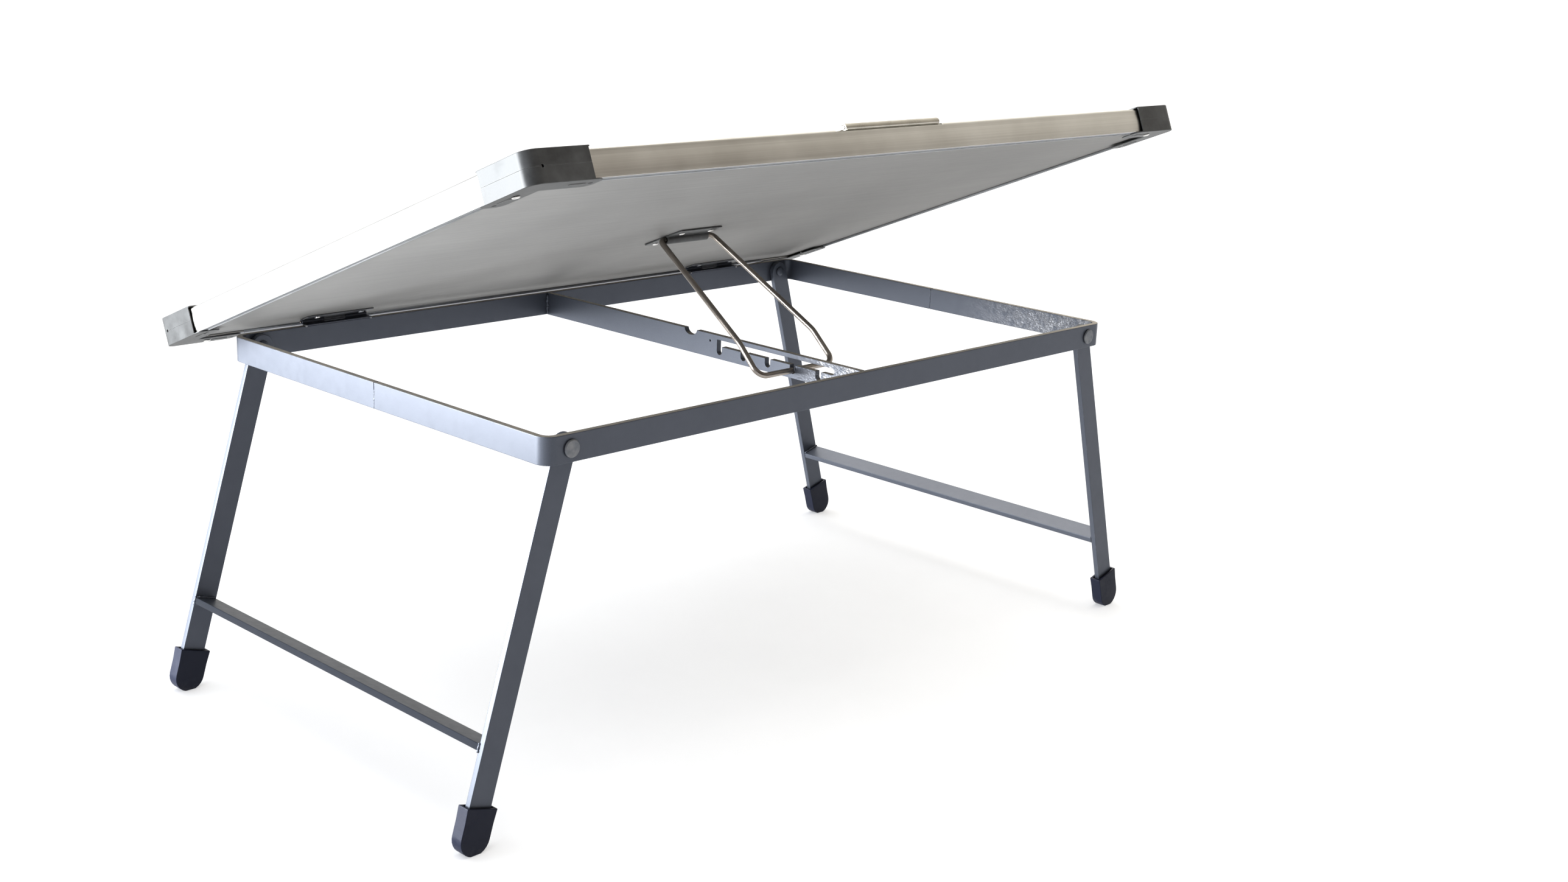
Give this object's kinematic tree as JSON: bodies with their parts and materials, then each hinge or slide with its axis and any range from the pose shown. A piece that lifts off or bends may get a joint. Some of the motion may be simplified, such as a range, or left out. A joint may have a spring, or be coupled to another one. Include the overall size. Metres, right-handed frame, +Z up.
{
  "type": "tabletop easel",
  "caption": "Folding tabletop easel: a hinged board on a flat-bar frame, propped by a wire bail in a notched bar, on fold-in legs with rubber feet.",
  "frame": {"origin": "centre of the footprint on the table plane, under the middle of the bounding box", "axes": "+Z up, +Y towards the raised edge of the board and away from the user, +X to the right of a user who faces the writing side"},
  "size_m": [0.7756, 0.466, 0.4784],
  "materials": {
    "silver_paint": "satin silver-grey paint, worn at edges",
    "aluminium": "satin anodised, lengthwise drawn lines",
    "galvanised": "zinc-coated sheet",
    "plated_steel": "nickel-plated wire and rivets",
    "rubber": "moulded blue-black rubber",
    "writing_surface": "white laminate",
    "core": "pressed board"
  },
  "bodies": {
    "frame": {"frame_half_front": "silver_paint", "frame_half_rear": "silver_paint", "centre_bar": "silver_paint", "hinge_frame_leaf_right": "galvanised", "hinge_pin_right": "plated_steel", "leg_rivet_right_front": "plated_steel", "leg_rivet_right_rear": "plated_steel", "hinge_frame_leaf_left": "galvanised", "hinge_pin_left": "plated_steel", "leg_rivet_left_front": "plated_steel", "leg_rivet_left_rear": "plated_steel"},
    "board": {"backing_sheet": "galvanised", "core_board": "core", "writing_sheet": "writing_surface", "rail_front": "aluminium", "rail_rear": "aluminium", "rail_left": "aluminium", "rail_right": "aluminium", "corner_cap_top_rear_right": "galvanised", "corner_cap_bottom_rear_right": "galvanised", "cap_rivet_rear_right": "plated_steel", "corner_cap_top_rear_left": "galvanised", "corner_cap_bottom_rear_left": "galvanised", "cap_rivet_rear_left": "plated_steel", "corner_cap_top_front_right": "galvanised", "corner_cap_bottom_front_right": "galvanised", "cap_rivet_front_right": "plated_steel", "corner_cap_top_front_left": "galvanised", "corner_cap_bottom_front_left": "galvanised", "cap_rivet_front_left": "plated_steel", "hinge_board_leaf_right": "galvanised", "hinge_rivet_right_inner": "plated_steel", "hinge_rivet_right_outer": "plated_steel", "hinge_board_leaf_left": "galvanised", "hinge_rivet_left_inner": "plated_steel", "hinge_rivet_left_outer": "plated_steel", "prop_bracket": "galvanised", "bracket_rivet_tab": "plated_steel", "bracket_rivet_right": "plated_steel", "bracket_rivet_left": "plated_steel", "clip_base": "galvanised", "clip_spring": "plated_steel", "clip_pin": "plated_steel", "clip_rivet_left": "plated_steel", "clip_rivet_right": "plated_steel"},
    "prop": {"prop_wire": "plated_steel"},
    "clip_jaw": {"clip_jaw": "galvanised"},
    "legs_right": {"leg_right_front": "silver_paint", "leg_right_rear": "silver_paint", "stretcher_right": "silver_paint", "foot_right_front": "rubber", "foot_right_rear": "rubber"},
    "legs_left": {"leg_left_front": "silver_paint", "leg_left_rear": "silver_paint", "stretcher_left": "silver_paint", "foot_left_front": "rubber", "foot_left_rear": "rubber"}
  },
  "joints": [
    {"name": "board_tilt", "type": "hinge", "parent": "frame", "child": "board", "pos_m": [0, -0.1916, 0.28525], "axis": [1, 0, 0], "range_deg": [-22, 18.5]},
    {"name": "prop_swing", "type": "hinge", "parent": "board", "child": "prop", "pos_m": [0, -0.00959, 0.35798], "axis": [-1, 0, 0], "range_deg": [-53, 44.8]},
    {"name": "legs_right_fold", "type": "hinge", "parent": "frame", "child": "legs_right", "pos_m": [0.298, 0.0054, 0.273], "axis": [0, 1, 0], "range_deg": [0, 101]},
    {"name": "legs_left_fold", "type": "hinge", "parent": "frame", "child": "legs_left", "pos_m": [-0.298, 0.0054, 0.273], "axis": [0, -1, 0], "range_deg": [0, 101]},
    {"name": "clip_open", "type": "hinge", "parent": "board", "child": "clip_jaw", "pos_m": [0.01, 0.21885, 0.47541], "axis": [-1, 0, 0], "range_deg": [0, 25], "stiffness_Nm_per_rad": 0.25, "springref_deg": -34.38}
  ],
  "couplings": [
    {"joint": "prop_swing", "follows": "board_tilt", "ratio": 2.397}
  ]
}
